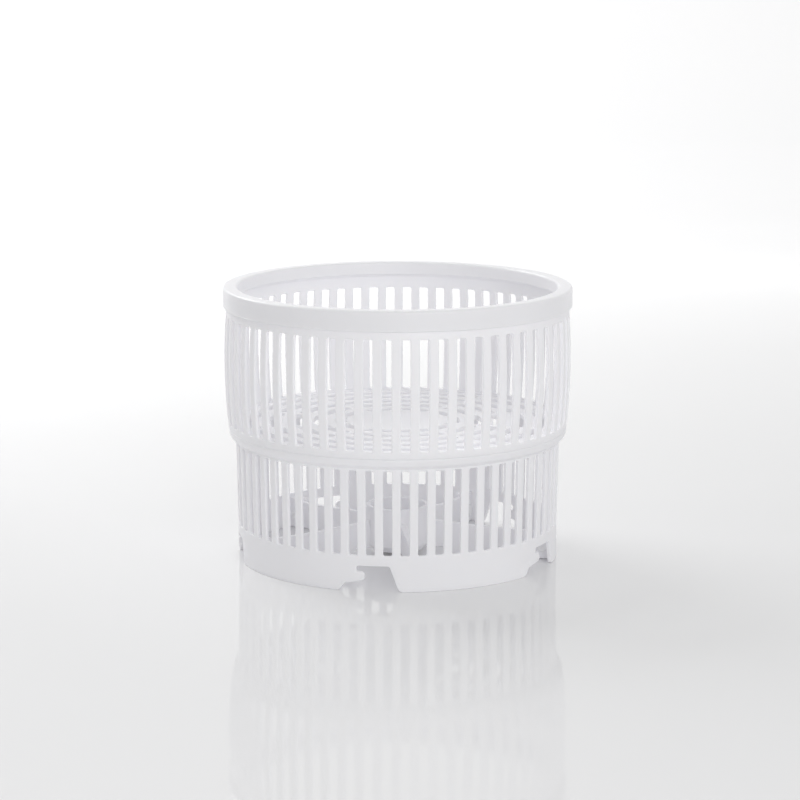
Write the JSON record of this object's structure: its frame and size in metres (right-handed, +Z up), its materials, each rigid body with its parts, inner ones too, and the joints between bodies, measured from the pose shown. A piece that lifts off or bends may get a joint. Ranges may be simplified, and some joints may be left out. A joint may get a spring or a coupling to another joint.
{
  "type": "salad spinner basket",
  "caption": "Round white spin basket with slotted barrel wall, slotted floor and slotted pedestal; hooked notches in its foot and a pivot bush on its axis.",
  "frame": {"origin": "on the spin axis, at the face that the foot band stands on", "axes": "+Z up along the spin axis; -Y is the side with the notch at the front"},
  "size_m": [0.2198, 0.2198, 0.173],
  "materials": {
    "cage_plastic": "white moulded polypropylene, satin and slightly translucent",
    "rim_plastic": "white moulded polypropylene, a little glossier than the cages",
    "pin_plastic": "white nylon",
    "bush_acetal": "natural acetal, machined",
    "circlip_steel": "stainless spring steel"
  },
  "bodies": {
    "pivot": {"pivot_bush": "bush_acetal", "thrust_washer": "bush_acetal", "bush_circlip": "circlip_steel"},
    "basket": {"rim_ring": "rim_plastic", "upper_cage": "cage_plastic", "floor_grating": "cage_plastic", "lower_cage": "cage_plastic", "pivot_spider": "cage_plastic", "arm_pin_1": "pin_plastic", "arm_pin_2": "pin_plastic", "arm_pin_3": "pin_plastic", "arm_pin_4": "pin_plastic", "arm_pin_5": "pin_plastic"}
  },
  "joints": [
    {"name": "basket_spin", "type": "hinge", "parent": "pivot", "child": "basket", "pos_m": [0, 0, 0.0115], "axis": [0, 0, 1], "continuous": true}
  ]
}
